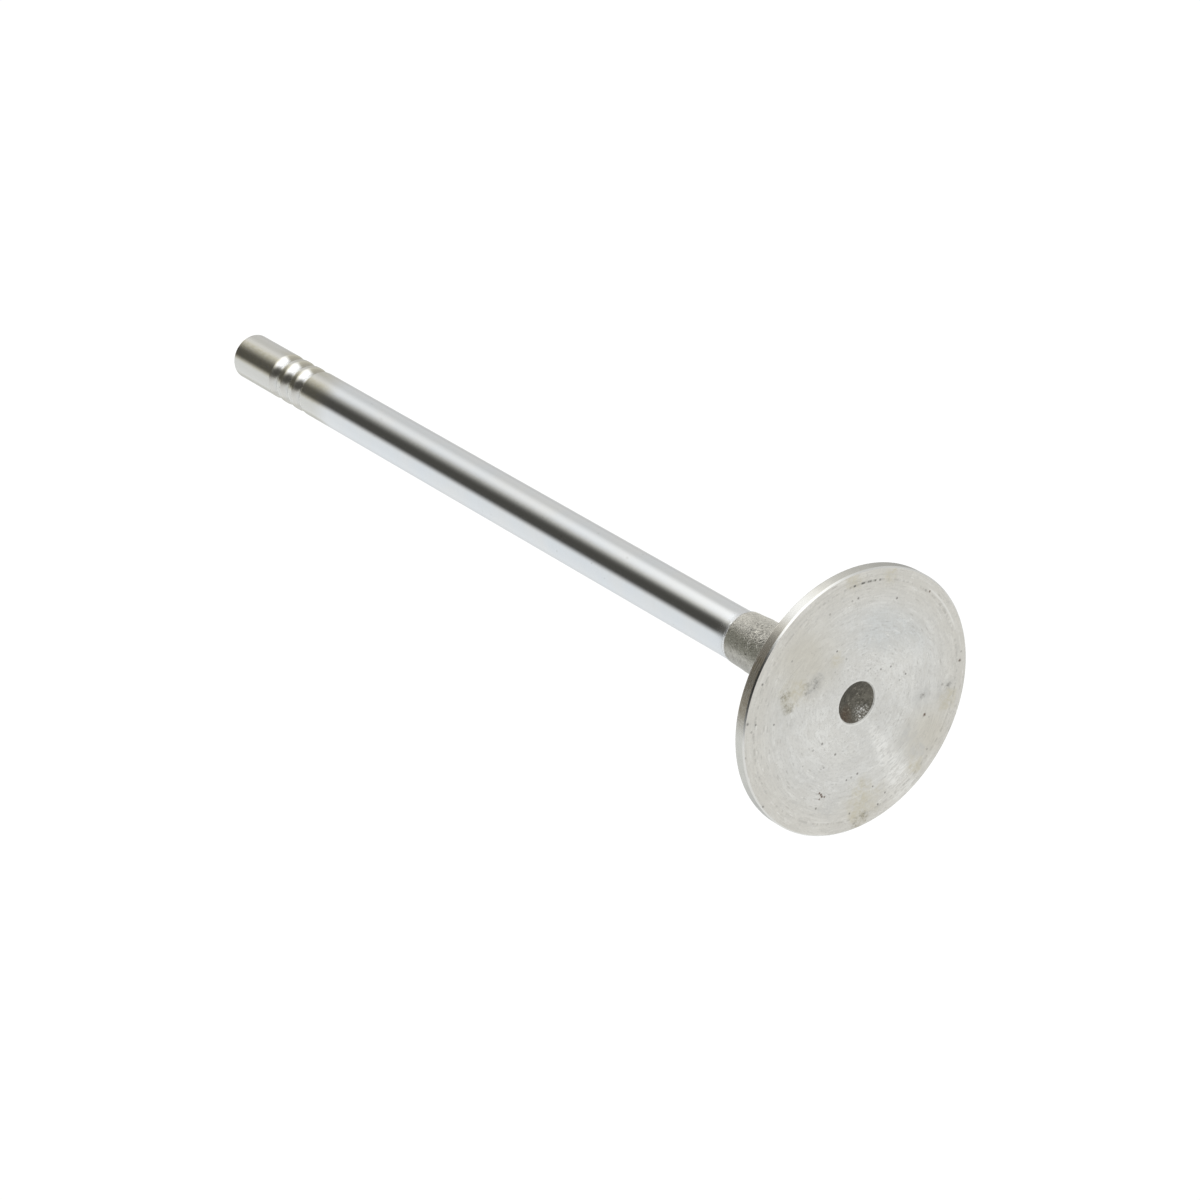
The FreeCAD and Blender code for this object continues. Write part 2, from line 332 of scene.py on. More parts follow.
def valve_surface(size, finish):
    """Grid of points: the half section turned about Z, x = r cos a and y = r sin a. The skin's
    height is added along the section's outward normal on the forging and, finer, in the bowl.
    Returns the points, the skin's height and the zones."""
    rings, zones = half_section(size)
    radius, height = rings[:, 0], rings[:, 1]
    turns = np.arange(finish.segments) * (2 * math.pi / finish.segments)
    round_x, round_y = np.cos(turns), np.sin(turns)
    points = np.stack([radius[:, None] * round_x, radius[:, None] * round_y,
                       np.repeat(height[:, None], finish.segments, axis=1)], axis=2)

    lengths = np.linalg.norm(np.diff(rings, axis=0), axis=1)
    along = np.concatenate([[0], np.cumsum(lengths)])
    tangent = np.gradient(rings, along, axis=0)
    tangent /= np.linalg.norm(tangent, axis=1)[:, None]
    forged_rings = np.flatnonzero(zones == ZONES.index("forged"))
    cone_start, neck_end = along[forged_rings[0]], along[forged_rings[-1] + 1]
    forging = (fade(along, cone_start, cone_start + 0.8 * MM)
               * fade(-along, -neck_end, -neck_end + 0.6 * MM))
    bowl_reach = size.recess_diameter / 2
    bowl = fade(-along, -bowl_reach, -bowl_reach + 1.2 * MM)

    grain = lattice_noise(points, (0.5 * MM, 0.5 * MM, 0.5 * MM), finish.seed + 4)
    skin = (forging[:, None] * forged_height(points, finish)
            + bowl[:, None] * 0.05 * MM * grain)
    skin[radius < 1e-9] = 0
    lean = (finish.neck_shift * fade(height, 12 * MM, 22 * MM)
            * fade(-height, -size.stem_start, -size.stem_start + 1.0 * MM))

    out = np.stack([tangent[:, 1], -tangent[:, 0]], axis=1)
    points[..., 0] += out[:, :1] * skin * round_x
    points[..., 1] += out[:, :1] * skin * round_y + (lean * (radius > 0))[:, None]
    points[..., 2] += out[:, 1:] * skin
    return points, skin, zones


def valve_mesh(size, finish):
    """Mesh of the grid, closed round and with one point at each pole."""
    points, skin, zones = valve_surface(size, finish)
    rows, columns = points.shape[:2]
    inner = points[1:-1].reshape(-1, 3)
    vertices = np.concatenate([points[0, :1], inner, points[-1, :1]])
    heights = np.concatenate([skin[0, :1], skin[1:-1].ravel(), skin[-1, :1]])

    ring = np.arange(columns)
    following = (ring + 1) % columns
    start = 1 + np.arange(rows - 3)[:, None] * columns
    quads = np.stack([start + ring, start + following, start + columns + following,
                      start + columns + ring], axis=2).reshape(-1, 4)
    last = len(vertices) - 1
    last_ring = 1 + (rows - 3) * columns
    first_fan = np.stack([np.zeros_like(ring), 1 + following, 1 + ring], axis=1)
    last_fan = np.stack([np.full_like(ring, last), last_ring + ring, last_ring + following], axis=1)

    mesh = bpy.data.meshes.new("valve_body")
    mesh.from_pydata(vertices.tolist(), [],
                     first_fan.tolist() + quads.tolist() + last_fan.tolist())
    mesh.polygons.foreach_set("use_smooth", np.ones(len(mesh.polygons), bool))
    faces_per_zone = np.repeat(zones, columns)
    mesh.polygons.foreach_set("material_index", faces_per_zone.astype(np.int32))
    attribute = mesh.attributes.new("skin", "FLOAT", "POINT")
    attribute.data.foreach_set("value", (heights / MM).astype(np.float32))
    mesh.update()
    return mesh


class Wiring:
    """Adds nodes to a node tree and joins them. A value may be a number, a colour or a socket."""

    def __init__(self, tree):
        self.tree = tree
        tree.nodes.clear()

    def node(self, kind, **settings):
        made = self.tree.nodes.new(kind)
        for name, value in settings.items():
            setattr(made, name, value)
        return made

    def feed(self, socket, value):
        if isinstance(value, bpy.types.NodeSocket):
            self.tree.links.new(value, socket)
        elif hasattr(value, "__len__") and len(value) == 3 and socket.type == "RGBA":
            socket.default_value = (*value, 1)
        else:
            socket.default_value = value

    def fill(self, node, values):
        """Feeds a node's sockets by their names."""
        for name, value in values.items():
            self.feed(node.inputs[name], value)

    def apply(self, kind, *values, **settings):
        """Outputs of a new node whose first sockets hold the values, in their order."""
        made = self.node(kind, **settings)
        for socket, value in zip(made.inputs, values):
            self.feed(socket, value)
        return made.outputs

    def math(self, operation, *values):
        return self.apply("ShaderNodeMath", *values, operation=operation)[0]

    def times(self, first, *factors):
        """Product of two or more values."""
        for factor in factors:
            first = self.math("MULTIPLY", first, factor)
        return first

    def raised(self, start, value, share):
        """start + value * share."""
        return self.math("MULTIPLY_ADD", value, share, start)

    def vector(self, operation, *values, out=0):
        return self.apply("ShaderNodeVectorMath", *values, operation=operation)[out]

    def ease(self, *ramp, kind="SMOOTHSTEP"):
        """Smooth step of a value. The ramp is the value, its low and its high, and what is given
        at each: 0 and 1 where nothing is said."""
        return self.apply("ShaderNodeMapRange", *ramp, interpolation_type=kind)[0]

    def line(self, *ramp):
        """Straight ramp, with the same order of numbers, held outside."""
        return self.ease(*ramp, kind="LINEAR")

    def blend(self, factor, first, second, kind="MIX"):
        made = self.node("ShaderNodeMix", data_type="RGBA", blend_type=kind, clamp_factor=True)
        self.feed(made.inputs[0], factor)
        self.feed(made.inputs[6], first)
        self.feed(made.inputs[7], second)
        return made.outputs[2]

    def noise(self, place, scale, detail=2.0, roughness=0.5, distortion=0.0):
        made = self.node("ShaderNodeTexNoise")
        self.fill(made, {"Vector": place, "Scale": scale, "Detail": detail,
                         "Roughness": roughness, "Distortion": distortion})
        return made.outputs[0]

    def cells(self, place, scale):
        """Distance to the nearest of a crowd of random points, and a random value for each."""
        made = self.node("ShaderNodeTexVoronoi")
        self.fill(made, {"Vector": place, "Scale": scale})
        return made.outputs[0], self.apply("ShaderNodeSeparateColor", made.outputs[1])[0]

    def scattered(self, place, scale, edge, chosen):
        """1 near some of the random points: edge is the distance at which a dot begins and that
        at which it is full, and chosen the same for the random value."""
        distance, chance = self.cells(place, scale)
        return self.times(self.ease(distance, *edge), self.ease(chance, *chosen))

    def split(self, vector):
        return self.apply("ShaderNodeSeparateXYZ", vector)

    def join(self, x, y, z):
        return self.apply("ShaderNodeCombineXYZ", x, y, z)[0]


class Skin(Wiring):
    """Wiring of one metal surface of the valve, with the places that its patterns need."""

    def __init__(self, name):
        self.material = bpy.data.materials.new(name)
        self.material.use_nodes = True
        super().__init__(self.material.node_tree)
        self.colour = None
        # The place on the valve in millimetres, and its azimuth in degrees from +X.
        coordinates = self.node("ShaderNodeTexCoord").outputs["Object"]
        self.here = self.vector("SCALE", coordinates, (0, 0, 0), (0, 0, 0), 1 / MM)
        self.x, self.y, self.z = self.split(self.here)
        self.azimuth = self.math("DEGREES", self.math("ARCTAN2", self.y, self.x))
        tilt = self.node("ShaderNodeMapping")
        self.fill(tilt, {"Vector": self.here, "Location": (3.7, 1.3, 5.4),
                         "Rotation": (0.58, 0.72, 0.47)})
        self.tilted = tilt.outputs[0]
        square = self.raised(self.times(self.y, self.y), self.x, self.x)
        self.radius = self.math("SQRT", self.math("ADD", square, 1e-6))

    def polar(self, per_radius, per_turn, per_height):
        """Place for patterns that run round the axis: short across a turned mark, long along it."""
        side_x = self.times(self.math("DIVIDE", self.x, self.radius), per_turn)
        side_y = self.times(self.math("DIVIDE", self.y, self.radius), per_turn)
        level = self.times(self.z, per_height)
        return self.join(side_x, side_y, self.raised(level, self.radius, per_radius))

    def between(self, value, low, high, soft):
        """1 between low and high, and 0 outside, over an edge of the width soft."""
        return self.times(self.ease(value, low - soft / 2, low + soft / 2),
                          self.ease(value, high + soft / 2, high - soft / 2))

    def side(self, low, high, soft):
        """1 between two azimuths, which run from -180 to 180 degrees."""
        return self.between(self.azimuth, low, high, soft)

    def spot(self, mark, ragged=0.0):
        """1 in the middle of a mark, given by its place x and y and its reach, and 0 from the reach
        outwards, with a ragged outline."""
        x, y, reach = mark
        flat = self.join(self.x, self.y, 0.0)
        distance = self.vector("DISTANCE", flat, (x, y, 0), out=1)
        if ragged:
            rough = self.noise(self.tilted, 1.6 / reach, 3.0, 0.6)
            shift = self.times(self.math("SUBTRACT", rough, 0.5), 2 * ragged)
            distance = self.raised(distance, shift, reach)
        return self.ease(distance, reach, 0.15 * reach)

    def spots(self, marks, ragged=0.0):
        """The strongest of several marks."""
        total = self.spot(marks[0], ragged)
        for mark in marks[1:]:
            total = self.math("MAXIMUM", total, self.spot(mark, ragged))
        return total

    def coat(self, share, colour):
        """Lays a colour over what is there, by a share from 0 to 1 or the product of several."""
        factors = share if isinstance(share, tuple) else (share,)
        self.colour = self.blend(self.times(*factors), self.colour, colour)

    def finish(self, roughness, height, depth, anisotropic=0.0, edge_tint=1.0, dirt=0.0):
        """Shader of the metal: height is a pattern from 0 to 1 that stands up by depth. The
        grinding and turning marks run round the axis, so highlights stretch across them. An edge
        tint under 1 dulls the metal where it is seen at a low angle. Dirt, from 0 to 1, is how
        much of the surface is a dull film."""
        bump = self.node("ShaderNodeBump")
        self.fill(bump, {"Strength": 1.0, "Distance": depth, "Height": height})
        shader = self.node("ShaderNodeBsdfPrincipled")
        self.fill(shader, {"Base Color": self.colour, "Roughness": roughness,
                           "Metallic": self.math("SUBTRACT", 1.0, dirt),
                           "Specular Tint": (edge_tint,) * 3, "Normal": bump.outputs[0]})
        if anisotropic:
            tangent = self.node("ShaderNodeTangent", direction_type="RADIAL", axis="Z")
            self.fill(shader, {"Tangent": tangent.outputs[0], "Anisotropic": anisotropic,
                               "Anisotropic Rotation": 0.25})
        self.apply("ShaderNodeOutputMaterial", shader.outputs[0])
        return self.material


def darker(colour, share):
    """The colour, with its light changed to a share."""
    return tuple(channel * share for channel in colour)


def tinted(colour, *shares):
    """The colour, with each channel changed to a share of its own."""
    return tuple(channel * share for channel, share in zip(colour, shares))


def plated_stem(finish):
    """Bright plating over ground steel: fine grinding lines round the stem, broad soft patches, a
    few specks, a duller run-out by the neck, and a brown film near the tip. In the grooves, a slight
    brown tint, painted shade and a painted dark reflection on the upper side, a painted glint, and a
    rougher lower side that is painted lighter."""
    skin = Skin("plated_stem")
    lines = skin.noise(skin.polar(0.0, 1.2, 5.0), 1.0, 3.0, 0.6)
    patches = skin.noise(skin.tilted, 0.11, 2.0)
    grain = skin.noise(skin.tilted, 1.5, 4.0, 0.65)
    speck = skin.scattered(skin.tilted, 0.55, (0.1, 0.04), (0.55, 0.6))
    in_groove = skin.ease(skin.radius, 4.49, 4.2)
    near_tip = skin.ease(skin.z, 150.5, 157.5)
    bright = finish.plating_colour
    cool = tinted(bright, 0.965, 0.99, 1.02)
    skin.colour = skin.blend(skin.line(patches, 0.35, 0.65), cool, bright)
    skin.coat(skin.side(-14.0, 15.0, 12.0), tinted(bright, 1.0, 0.995, 0.95))
    skin.coat(near_tip, finish.tip_colour)
    skin.coat(skin.line(lines, 0.3, 0.7, 0.0, 0.14), darker(bright, 0.8))
    sides = skin.math("MAXIMUM", skin.side(-24.0, 27.0, 16.0), skin.side(-112.0, -64.0, 16.0))
    film = skin.times(near_tip, sides, skin.line(grain, 0.3, 0.6, 0.5, 1.0),
                      skin.raised(1.0, in_groove, -0.7))
    skin.coat(film, finish.film_colour)
    lowest = skin.times(near_tip, skin.side(-112.0, -68.0, 12.0))
    skin.coat((lowest, 0.45), darker(finish.film_colour, 0.55))
    upper = skin.side(48.0, 100.0, 16.0)
    # Painted reflection: the upper side of the grooves is laid over with brown, standing in for the dark
    # things it reflects.
    upper_groove_shade = skin.times(upper, skin.between(skin.z, 157.5, 174.0, 5.0))
    skin.coat((upper_groove_shade, 0.55), finish.film_colour)
    # A slight brown tint in every groove, and painted shade on their upper side.
    shade = skin.times(in_groove, skin.raised(0.05, upper, 0.4))
    skin.coat(shade, darker(finish.stain_colour, 0.85))
    # Painted glint: the grooves are lighter on the side where their glints show.
    groove_glint = skin.times(in_groove, skin.side(9.0, 46.0, 14.0))
    skin.coat(groove_glint, darker(bright, 1.08))
    skin.coat((speck, 0.5), darker(finish.tip_colour, 0.5))
    corner = skin.times(skin.ease(skin.z, 184.3, 184.8), skin.ease(skin.y, -1.5, 0.5))
    skin.coat((corner, 0.6), finish.stain_colour)
    grooves = skin.ease(skin.radius, 4.5, 4.46)
    # The grooves' lower side is rougher, and painted lighter to make up for its darker blurred reflection.
    dull = skin.times(grooves, skin.side(-130.0, -30.0, 20.0))
    skin.coat((dull, 0.45), darker(bright, 1.08))
    roughness = skin.raised(skin.line(lines, 0.25, 0.75, 0.13, 0.18), grooves, 0.09)
    roughness = skin.raised(roughness, dull, 0.2)
    roughness = skin.raised(roughness, skin.ease(skin.z, 33.0, 29.8), 0.16)
    height = skin.math("SUBTRACT", lines, skin.times(speck, 2.0))
    return skin.finish(roughness, height, 0.0012 * MM, anisotropic=0.4,
                       dirt=skin.times(film, 0.1))


def forged_skin(finish):
    """As-forged neck: grey-brown skin with painted shade in the hollows and a painted highlight on
    the ridges, painted glints along the folds with painted shadow beside them, sides painted darker
    in front and below and lighter above, fine grain and a few rusty flecks.
    """
    skin = Skin("forged_skin")
    relief = skin.node("ShaderNodeAttribute", attribute_name="skin").outputs["Fac"]
    grain = skin.noise(skin.tilted, 2.6, 4.0, 0.62)
    tone = skin.noise(skin.tilted, 0.45, 3.0, 0.55)
    slanted = skin.join(skin.x, skin.times(skin.y, 0.8), skin.raised(skin.z, skin.y, 0.7))
    strokes = skin.node("ShaderNodeTexVoronoi", feature="DISTANCE_TO_EDGE")
    skin.fill(strokes, {"Vector": slanted, "Scale": 0.85})
    from_fold = strokes.outputs[0]
    from_middle = skin.vector("DISTANCE", skin.here, (4.5, 1.9, 22.6), out=1)
    broken = skin.noise(skin.tilted, 1.5, 2.0)
    worked = skin.times(skin.line(broken, 0.4, 0.52), skin.ease(from_middle, 3.8, 1.8, 0.1, 1.0))
    # Painted glints along the folds and painted shadow beside them; the glint lines also stand up in the
    # bump.
    creases_with_glints = skin.times(skin.line(from_fold, 0.075, 0.02), worked)
    fold_shadow = skin.times(skin.between(from_fold, 0.09, 0.16, 0.04), worked)
    base = finish.forged_colour
    skin.colour = skin.blend(skin.line(tone, 0.35, 0.65), darker(base, 0.94), darker(base, 1.1))
    # Painted shade and light by side: darker in front and below, lighter on the upper side.
    front = skin.side(-33.0, 7.0, 26.0)
    skin.coat((front, 0.95), tinted(base, 0.54, 0.54, 0.48))
    lower = skin.side(-76.0, -46.0, 16.0)
    skin.coat((lower, 0.75), darker(base, 0.75))
    upper = skin.side(60.0, 116.0, 24.0)
    skin.coat(upper, darker(base, 1.4))
    skin.coat(skin.line(grain, 0.52, 0.7, 0.0, 0.4), darker(base, 0.55))
    grit = skin.noise(skin.tilted, 4.6, 3.0, 0.6)
    skin.coat(skin.line(grit, 0.56, 0.66, 0.0, 0.65), darker(base, 0.4))
    skin.coat(skin.line(grit, 0.42, 0.32, 0.0, 0.5), darker(base, 1.5))
    # Painted shade in the hollows of the forged relief and a painted highlight on its ridges.
    skin.coat(skin.line(relief, -0.02, -0.09, 0.0, 0.6), darker(base, 0.42))
    skin.coat(skin.line(relief, 0.025, 0.08, 0.0, 0.3), darker(base, 1.3))
    # Painted shadow beside the folds and painted glints along them.
    skin.coat((fold_shadow, 0.75), darker(base, 0.34))
    skin.coat((creases_with_glints, 0.75), darker(base, 1.5))
    rust = skin.scattered(skin.tilted, 0.5, (0.22, 0.05), (0.78, 0.82))
    skin.coat((rust, 0.35), finish.rust_colour)
    overlap = skin.ease(skin.raised(skin.z, grain, 0.5), 29.45, 29.6)
    skin.coat(overlap, finish.plating_colour)
    roughness = skin.raised(skin.line(grain, 0.3, 0.7, 0.3, 0.44), overlap, -0.1)
    height = skin.times(skin.raised(grain, creases_with_glints, 0.5), skin.math("SUBTRACT", 1.0, overlap))
    return skin.finish(roughness, height, 0.2 * MM, dirt=0.08)


def turned_rim(name, finish, share):
    """Margin and seat: steel turned to a fine finish, with short marks round the rim, pits, brown
    dirt on one side that also paints the dark reflected band there, a painted highlight and a
    painted lighter strip beside it, and a greyer film on the other."""
    skin = Skin(name)
    marks = skin.noise(skin.polar(3.0, 9.0, 4.0), 1.0, 3.0, 0.6)
    tone = skin.noise(skin.tilted, 0.35, 3.0, 0.6)
    patchy = skin.noise(skin.tilted, 0.9, 4.0, 0.65)
    pitted = skin.math("SUBTRACT", 1.0, skin.side(8.0, 110.0, 16.0))
    pits = skin.times(skin.scattered(skin.tilted, 0.7, (0.24, 0.1), (0.76, 0.8)), pitted)
    base = darker(finish.margin_colour, share)
    skin.colour = skin.blend(skin.line(tone, 0.35, 0.65), darker(base, 0.94), darker(base, 1.03))
    skin.coat(skin.line(marks, 0.45, 0.75, 0.0, 0.24), darker(base, 0.7))
    # Painted highlight: a lighter, neutral band on the side where the soft box is reflected.
    lighter_band = skin.side(2.0, 28.0, 12.0)
    skin.coat((lighter_band, 0.8), darker(finish.face_colour, 1.13))
    thin_film = skin.times(skin.side(56.0, 104.0, 16.0), 0.15)
    skin.coat(skin.raised(thin_film, skin.side(76.0, 104.0, 12.0), 0.8), darker(base, 0.7))
    # Brown dirt on this side, which also paints in the dark reflected band; it dulls the metal as well.
    dark_band = skin.times(skin.side(-31.0, 3.0, 15.0), skin.line(patchy, 0.35, 0.6, 0.68, 1.0))
    # Painted light: a lighter, warmer strip beside the dark band.
    skin.coat(skin.side(-4.0, 13.0, 10.0), tinted(base, 1.15, 1.12, 1.07))
    skin.coat(dark_band, finish.grime_colour)
    grains = skin.line(skin.noise(skin.tilted, 3.0, 3.0, 0.65), 0.58, 0.68, 0.0, 0.55)
    skin.coat((grains, dark_band), darker(base, 1.1))
    skin.coat((pits, 0.6), darker(base, 0.35))
    roughness = skin.line(marks, 0.3, 0.7, 0.22, 0.32)
    height = skin.math("SUBTRACT", marks, skin.times(pits, 1.5))
    return skin.finish(roughness, height, 0.005 * MM, anisotropic=0.3, edge_tint=0.75,
                       dirt=skin.times(dark_band, 0.5))


def polished_edge(finish):
    """Broken edge round the face, made bright by rubbing, with a painted dark reflection on one
    side and painted shade on another.
    """
    skin = Skin("polished_edge")
    marks = skin.noise(skin.polar(4.0, 14.0, 4.0), 1.0, 2.0)
    base = finish.face_colour
    worn = skin.line(marks, 0.5, 0.8, 0.0, 0.3)
    skin.colour = skin.blend(worn, darker(base, 1.06), darker(base, 0.8))
    # Painted dark reflection: the edge is much darker on this side.
    dark_band = skin.side(-34.0, 4.0, 14.0)
    skin.coat((dark_band, 0.85), darker(base, 0.4))
    # Painted shade, not a film: the edge is darker on this side.
    film = skin.side(47.0, 104.0, 14.0)
    skin.coat((film, 0.5), darker(base, 0.7))
    return skin.finish(skin.line(marks, 0.3, 0.7, 0.16, 0.26), marks, 0.006 * MM)


SMUDGES = ((10.8, -0.7, 2.1), (11.8, -2.0, 1.7), (-13.0, 6.4, 0.9),
           (-17.2, 10.2, 1.1))
HAZES = ((11.2, -1.0, 3.0), (-17.2, 8.6, 3.4), (-12.8, 6.4, 2.6),
         (-14.2, -0.6, 2.8), (-18.8, -1.6, 2.6), (-6.8, -17.6, 2.8))
STAINS = ((13.7, -6.4, 1.6), (15.6, -5.0, 1.7), (-15.2, -15.8, 1.5),
          (-14.5, -17.6, 1.5))
FAINT_STAINS = ((14.2, -3.4, 3.6), (-13.2, -13.4, 5.2), (-18.6, 8.0, 2.8),
                (8.2, 20.4, 2.0), (15.2, 16.8, 2.6), (9.3, 4.4, 1.8),
                (-19.7, -4.1, 2.4))
PITS = (
    (2.37, -8.62, 0.34), (-1.62, -9.1, 0.34), (-8.64, -10.1, 0.34),
    (4.22, 17.96, 0.34), (12.15, 14.7, 0.32), (10.26, 5.6, 0.3),
    (-6.7, 8.1, 0.3), (-2.7, 7.9, 0.28), (-0.94, 6.7, 0.26),
    (-16.8, -12.9, 0.32), (-16.9, -10.6, 0.28), (-13.5, -10.7, 0.26),
    (-7.1, -11.9, 0.28), (-11.85, -16.5, 0.28), (-4.1, -18.4, 0.32),
    (14.55, -9.7, 0.28), (18.2, -11.15, 0.3), (19.9, -11.7, 0.4),
    (21.5, -5.0, 0.34), (7.16, -22.2, 0.34),
)
RUSTY_PITS = ((-4.5, -16.05, 0.28), (-3.9, -16.2, 0.4), (-3.5, -16.0, 0.36),
              (-3.0, -15.9, 0.3), (-3.7, -16.8, 0.24), (-15.8, 3.88, 0.44),
              (-16.65, 14.6, 0.4), (-1.8, 21.7, 0.3))


def turned_face(finish):
    """Combustion face: turned in fine rings, cooler on one side and warmer near the rim, with a
    painted highlight in a light wedge of streaks across it, smudges, brown stains near the rim, a
    broken scratch round it, and small dark and rusty pits."""
    skin = Skin("turned_face")
    rings = skin.noise(skin.polar(2.1, 4.5, 0.0), 1.0, 4.0, 0.6)
    fine = skin.noise(skin.polar(3.0, 14.0, 0.0), 1.0, 2.0)
    mottle = skin.noise(skin.tilted, 0.16, 3.0, 0.6)
    grain = skin.noise(skin.tilted, 2.4, 3.0, 0.7)
    base = finish.face_colour
    warm = tinted(base, 0.95, 0.925, 0.88)
    skin.colour = skin.blend(skin.line(mottle, 0.4, 0.6), darker(base, 0.98), darker(base, 1.03))
    cool_part = (skin.side(52.0, 120.0, 30.0), skin.between(skin.radius, 9.5, 16.5, 4.0))
    skin.coat(cool_part, tinted(base, 0.94, 0.96, 0.98))
    skin.coat(skin.spots(((3.5, -7.5, 8.5), (-5.0, 8.5, 7.5))), darker(base, 1.08))
    skin.coat((skin.ease(skin.radius, 15.0, 22.0), 0.75), warm)
    skin.coat(skin.line(rings, 0.54, 0.7, 0.0, 0.36), darker(base, 0.76))
    skin.coat(skin.line(rings, 0.44, 0.3, 0.0, 0.4), darker(base, 1.22))
    skin.coat(skin.line(fine, 0.56, 0.7, 0.0, 0.3), darker(base, 0.78))
    skin.coat(skin.line(grain, 0.54, 0.68, 0.0, 0.36), darker(base, 0.7))
    skin.coat(skin.line(grain, 0.44, 0.3, 0.0, 0.3), darker(base, 1.2))
    nick, chance = skin.cells(skin.polar(2.6, 12.0, 0.0), 0.6)
    nicks = skin.times(skin.ease(nick, 0.3, 0.12), skin.ease(chance, 0.58, 0.62))
    skin.coat((nicks, 0.32), darker(warm, 0.5))
    bright_nicks = skin.times(skin.ease(nick, 0.22, 0.1), skin.ease(chance, 0.16, 0.12))
    skin.coat((bright_nicks, 0.5), darker(base, 1.3))

    # Painted highlight: a light wedge of streaks on one side, where the turned rings would catch the light.
    sweep = skin.noise(skin.polar(1.4, 1.2, 0.0), 1.0, 4.0, 0.7)
    highlight_fan = skin.times(skin.side(-165.0, -151.0, 9.0), skin.line(sweep, 0.35, 0.55, 0.5, 1.0),
                     skin.line(fine, 0.6, 0.45, 0.15, 1.0), skin.ease(skin.radius, 4.5, 8.0))
    skin.coat((highlight_fan, 0.75), darker(base, 1.25))
    worn = skin.spots(((14.5, 1.5, 9.5), (-17.5, 1.5, 7.5)), 0.3)
    skin.coat((worn, 0.6), tinted(warm, 0.88, 0.86, 0.8))
    film = skin.noise(skin.polar(0.5, 3.5, 0.0), 1.0, 5.0, 0.72, 0.6)
    from_vein = skin.math("ABSOLUTE", skin.math("SUBTRACT", film, 0.5))
    veins = skin.times(skin.line(from_vein, 0.02, 0.004), skin.line(mottle, 0.42, 0.58, 0.15, 0.6))
    skin.coat(skin.line(film, 0.46, 0.66, 0.0, 0.35), darker(warm, 0.82))
    skin.coat((veins, 0.7), darker(warm, 0.7))
    ragged = skin.noise(skin.tilted, 0.9, 5.0, 0.75, 0.5)
    patchy = skin.line(ragged, 0.38, 0.58, 0.1, 1.0)
    crumbs = skin.line(skin.noise(skin.tilted, 2.3, 4.0, 0.75, 0.4), 0.5, 0.58)
    haze = skin.times(skin.spots(HAZES, 0.9), patchy)
    skin.coat((haze, 0.7), darker(base, 0.8))
    crumbly = skin.times(skin.raised(0.4, crumbs, 0.6), patchy)
    smudge = skin.times(skin.spots(SMUDGES, 0.8), crumbly)
    skin.coat((smudge, 0.9), darker(warm, 0.42))
    faint = skin.times(skin.spots(FAINT_STAINS, 0.9), patchy)
    skin.coat((faint, 0.6), darker(finish.stain_colour, 1.5))
    stain = skin.times(skin.spots(STAINS, 0.7), patchy)
    skin.coat((stain, 0.65), finish.stain_colour)
    skin.coat((stain, crumbs, 0.7), darker(finish.stain_colour, 0.4))

    ring_distance = skin.math("ABSOLUTE", skin.math("SUBTRACT", skin.radius, 21.5))
    dot = skin.cells(skin.polar(0.0, 50.0, 0.0), 1.0)[0]
    row = skin.times(skin.ease(dot, 0.66, 0.42), skin.side(46.0, 64.0, 5.0))
    broken = skin.ease(skin.noise(skin.polar(0.0, 26.0, 0.0), 1.0, 2.0), 0.45, 0.55)
    scratch = skin.raised(skin.times(broken, 0.2), row, 0.8)
    scratch = skin.times(skin.ease(ring_distance, 0.26, 0.1), scratch)
    skin.coat(scratch, darker(warm, 0.3))
    lighter_band = skin.times(skin.side(94.0, 121.0, 8.0), skin.between(skin.radius, 21.9, 22.2, 0.2))
    skin.coat((lighter_band, 0.5), darker(base, 1.2))
    land_line = skin.times(skin.side(5.0, 75.0, 20.0), skin.between(skin.radius, 22.3, 22.5, 0.2))
    skin.coat((land_line, 0.3), darker(warm, 0.7))

    pit = skin.spots(PITS)
    skin.coat((pit, 0.85), darker(warm, 0.3))
    rusty = skin.spots(RUSTY_PITS, 0.5)
    skin.coat((rusty, 0.95), finish.rust_colour)
    flecks = skin.scattered(skin.tilted, 0.42, (0.12, 0.06), (0.5, 0.54))
    skin.coat((flecks, 0.5), darker(warm, 0.4))
    lip = skin.ease(skin.radius, 4.25, 4.0)
    skin.coat((lip, 0.4), darker(base, 1.2))
    mouth = skin.ease(skin.radius, 3.74, 3.66)
    skin.coat(mouth, darker(finish.bowl_colour, 1.5))

    roughness = skin.raised(skin.line(mottle, 0.3, 0.7, 0.34, 0.28), rings, 0.14)
    roughness = skin.raised(roughness, skin.ease(skin.radius, 3.94, 3.86), 0.35)
    holes = skin.math("ADD", skin.math("MAXIMUM", pit, rusty), skin.times(flecks, 0.5))
    relief = skin.raised(skin.times(grain, 0.35), rings, 0.5)
    height = skin.math("SUBTRACT", relief, skin.math("ADD", holes, scratch))
    return skin.finish(roughness, height, 0.02 * MM, anisotropic=0.35)


